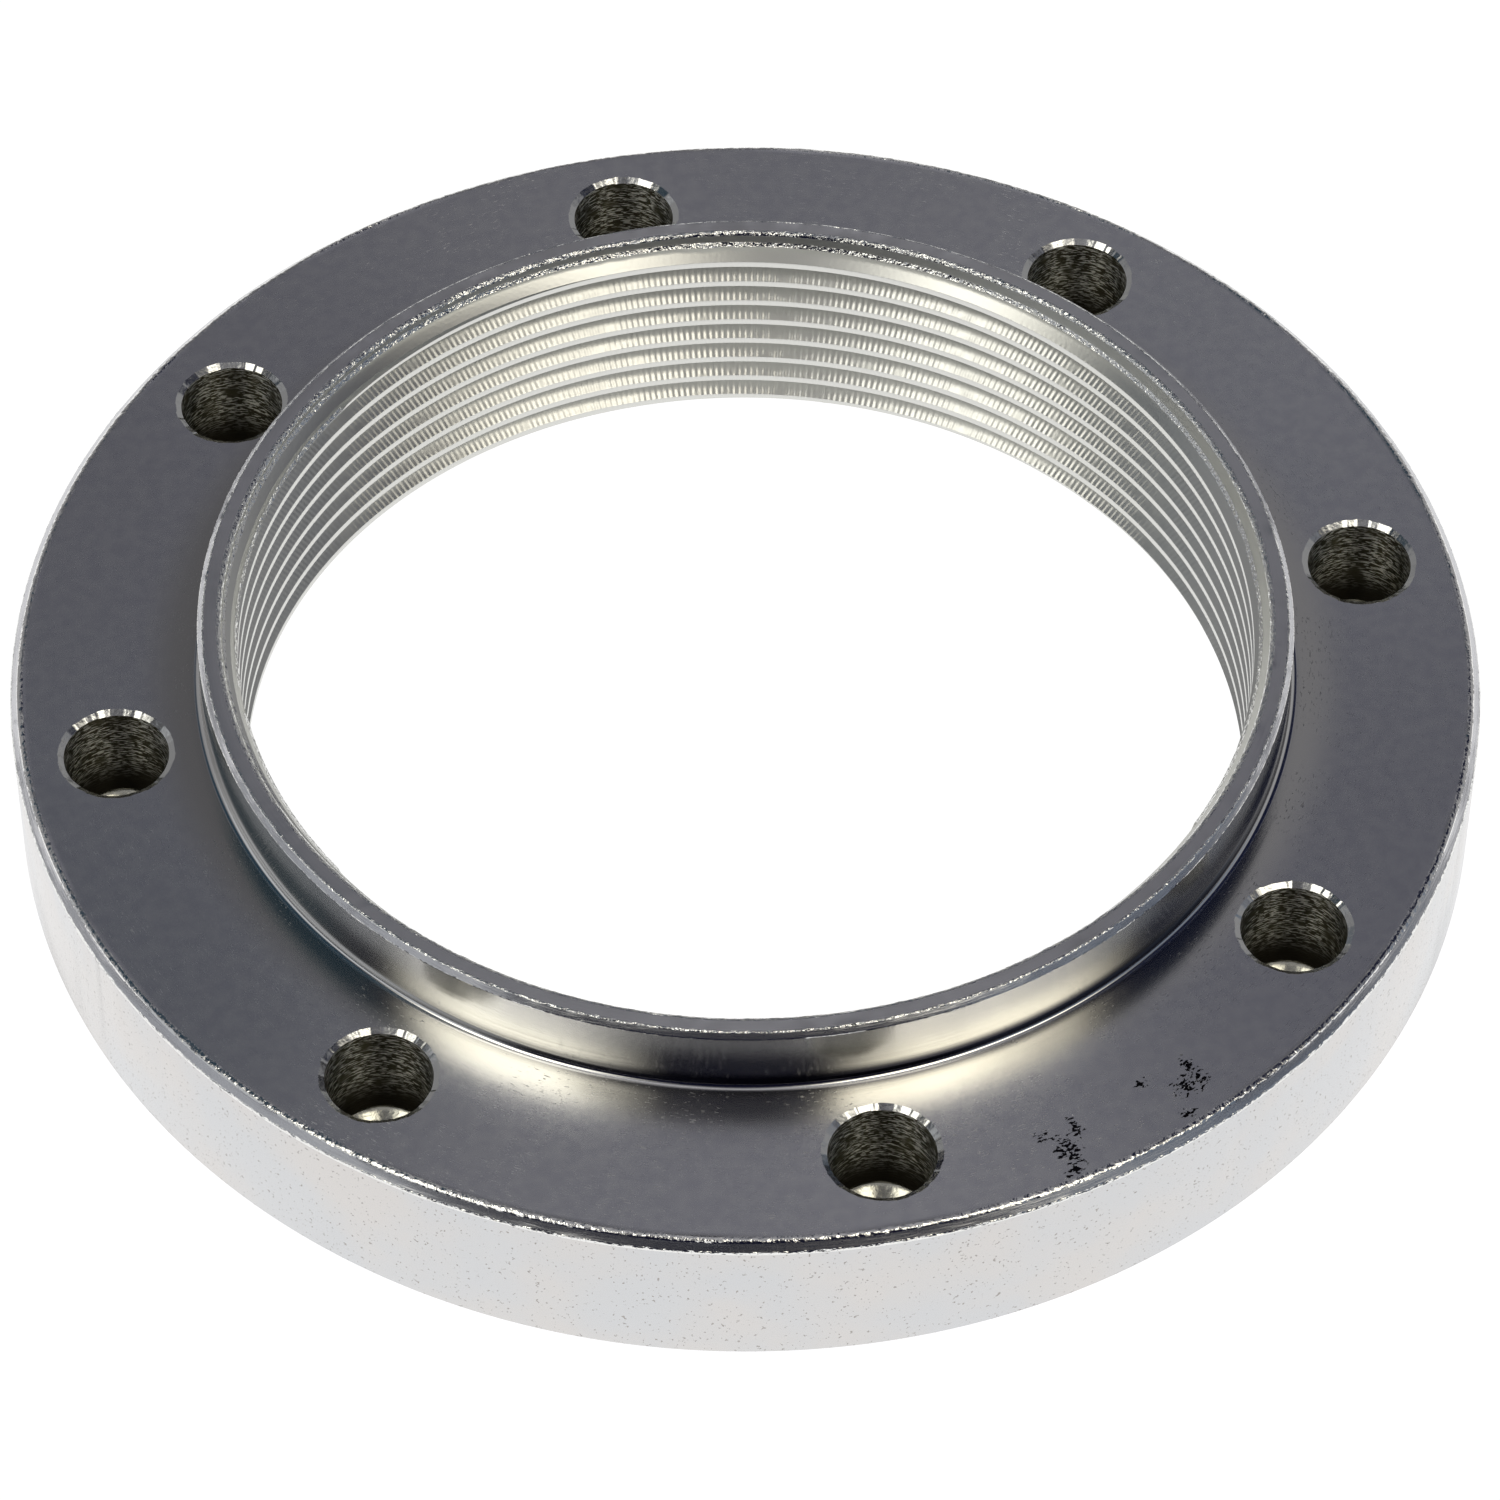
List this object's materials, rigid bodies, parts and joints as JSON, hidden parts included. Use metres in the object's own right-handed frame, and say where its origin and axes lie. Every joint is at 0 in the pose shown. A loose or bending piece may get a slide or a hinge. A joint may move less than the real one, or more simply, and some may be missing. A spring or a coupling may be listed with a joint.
{
  "type": "spindle nut",
  "caption": "Round spindle nut with a wide flange, a thin collar round the threaded bore and a ring of blind holes for a pin spanner.",
  "frame": {"origin": "centre of the bearing face, on the axis of the bore", "axes": "+Z along the bore, from the bearing face towards the collar and the spanner holes; +X through the centre of one spanner hole"},
  "size_m": [0.0776, 0.0776, 0.0132],
  "materials": {
    "zinc_plated_steel": "turned steel with a thin bright zinc plating"
  },
  "bodies": {
    "root": {"nut_body": "zinc_plated_steel"}
  },
  "joints": []
}
